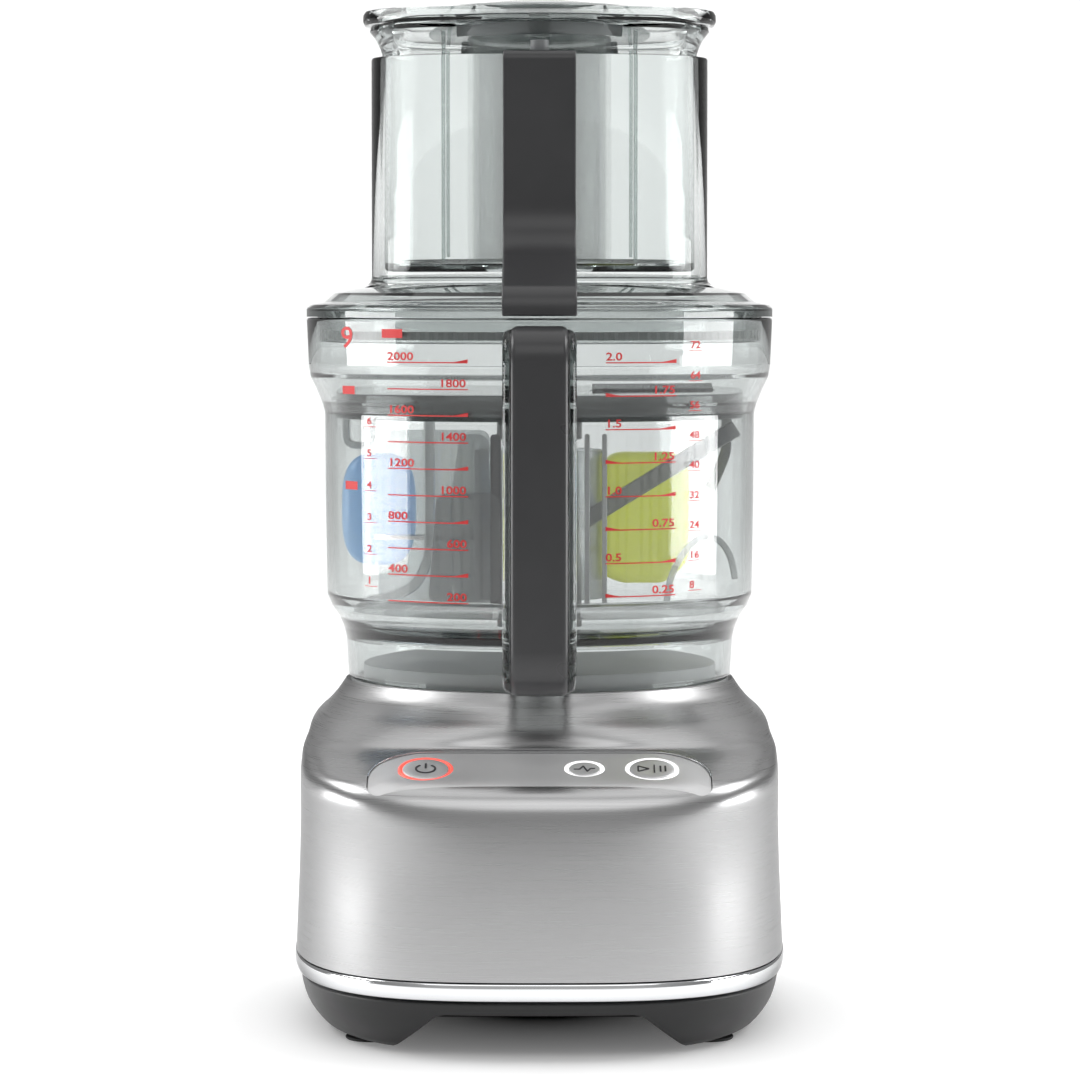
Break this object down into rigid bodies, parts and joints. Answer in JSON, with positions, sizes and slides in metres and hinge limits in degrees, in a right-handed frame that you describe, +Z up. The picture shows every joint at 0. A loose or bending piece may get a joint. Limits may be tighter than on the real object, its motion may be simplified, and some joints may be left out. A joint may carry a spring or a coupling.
{
  "type": "food processor",
  "caption": "Food processor with brushed steel motor base, clear graduated bowl with stored blades, lid with wide feed chute, nested pushers and lit push buttons.",
  "frame": {"origin": "on the table, under the middle of the motor base", "axes": "+Z up; the control panel and the bowl handle face -Y; +X is to the right seen from the front"},
  "size_m": [0.1928, 0.2286, 0.399],
  "materials": {
    "brushed_steel": "vertical brushed stainless steel",
    "grey_plastic": "fine moulded texture",
    "chrome": "polished",
    "dark_plastic": "satin moulded",
    "rubber": "matte",
    "satin_panel": "satin steel fascia",
    "red_light": "lit ring",
    "white_light": "lit ring",
    "circuit_board": "solder mask",
    "blue_can": "sleeved can",
    "motor_steel": "pressed steel",
    "copper": "enamelled winding",
    "bright_steel": "ground steel",
    "button_steel": "satin cap",
    "white_plastic": "moulded",
    "clear_plastic": "clear, faint green-grey tint",
    "smoky_plastic": "smoky grey",
    "blue_plastic": "translucent blue",
    "green_plastic": "yellow-green",
    "silicone": "soft seal",
    "cap_plastic": "grey-green translucent cap"
  },
  "bodies": {
    "base": {"housing": "brushed_steel", "turret": "grey_plastic", "chrome_band": "chrome", "base_tray": "dark_plastic", "band_frame": "dark_plastic", "rubber_feet": "rubber", "control_panel": "satin_panel", "power_ring": "red_light", "pulse_ring": "white_light", "start_ring": "white_light", "button_board": "circuit_board", "power_board": "circuit_board", "capacitor": "blue_can", "motor_mount": "motor_steel", "motor_case": "motor_steel", "stator": "copper", "lower_bearing": "bright_steel", "upper_bearing": "bright_steel", "cord_gland": "rubber", "base_screws": "bright_steel", "motor_screws": "bright_steel"},
    "rotor": {"motor_rotor": "motor_steel", "motor_shaft": "bright_steel", "cooling_fan": "white_plastic", "drive_coupling": "grey_plastic"},
    "power_button": {"power_button": "button_steel"},
    "pulse_button": {"pulse_button": "button_steel"},
    "start_button": {"start_button": "button_steel"},
    "bowl": {"bowl": "clear_plastic", "bowl_collar": "clear_plastic", "bowl_handle": "clear_plastic", "bowl_grip": "dark_plastic"},
    "blades": {"spindle": "smoky_plastic", "left_blade": "bright_steel", "right_blade": "bright_steel", "blue_guard": "blue_plastic", "green_guard": "green_plastic", "disc_rim": "smoky_plastic", "disc_blade": "bright_steel", "carrier_arm": "smoky_plastic", "carrier_post": "clear_plastic", "carrier_loop": "clear_plastic", "carrier_lugs": "clear_plastic"},
    "lid": {"lid": "clear_plastic", "lid_seal": "silicone", "feed_chute": "clear_plastic", "lid_handle": "dark_plastic", "interlock_spring": "bright_steel"},
    "interlock_pin": {"interlock_pin": "grey_plastic"},
    "large_pusher": {"large_pusher": "clear_plastic", "pusher_flange": "clear_plastic"},
    "small_pusher": {"small_pusher": "clear_plastic", "pusher_cap": "cap_plastic"}
  },
  "joints": [
    {"name": "drive_spin", "type": "hinge", "parent": "base", "child": "rotor", "pos_m": [0, 0.019, 0.06], "axis": [0, 0, 1], "continuous": true},
    {"name": "power_press", "type": "slide", "parent": "base", "child": "power_button", "axis": [0, -0.3123, 0.95], "range_m": [-0.0012, 0], "stiffness_N_per_m": 400, "springref_m": 0.0005},
    {"name": "pulse_press", "type": "slide", "parent": "base", "child": "pulse_button", "axis": [0, -0.3123, 0.95], "range_m": [-0.0012, 0], "stiffness_N_per_m": 400, "springref_m": 0.0005},
    {"name": "start_press", "type": "slide", "parent": "base", "child": "start_button", "axis": [0, -0.3123, 0.95], "range_m": [-0.0012, 0], "stiffness_N_per_m": 400, "springref_m": 0.0005},
    {"name": "bowl_lift", "type": "slide", "parent": "base", "child": "bowl", "axis": [0, 0, 1], "range_m": [0, 0.06]},
    {"name": "blade_spin", "type": "hinge", "parent": "bowl", "child": "blades", "pos_m": [0, 0.019, 0.2], "axis": [0, 0, 1], "continuous": true},
    {"name": "lid_lift", "type": "slide", "parent": "bowl", "child": "lid", "axis": [0, 0, 1], "range_m": [0, 0.08]},
    {"name": "interlock_press", "type": "slide", "parent": "lid", "child": "interlock_pin", "axis": [0, 0, 1], "range_m": [-0.004, 0], "stiffness_N_per_m": 120, "springref_m": 0.001},
    {"name": "large_pusher_lift", "type": "slide", "parent": "lid", "child": "large_pusher", "axis": [0, 0, 1], "range_m": [0, 0.1]},
    {"name": "small_pusher_lift", "type": "slide", "parent": "large_pusher", "child": "small_pusher", "axis": [0, 0, 1], "range_m": [0, 0.095]}
  ],
  "couplings": [
    {"joint": "blade_spin", "follows": "drive_spin", "ratio": 1}
  ]
}
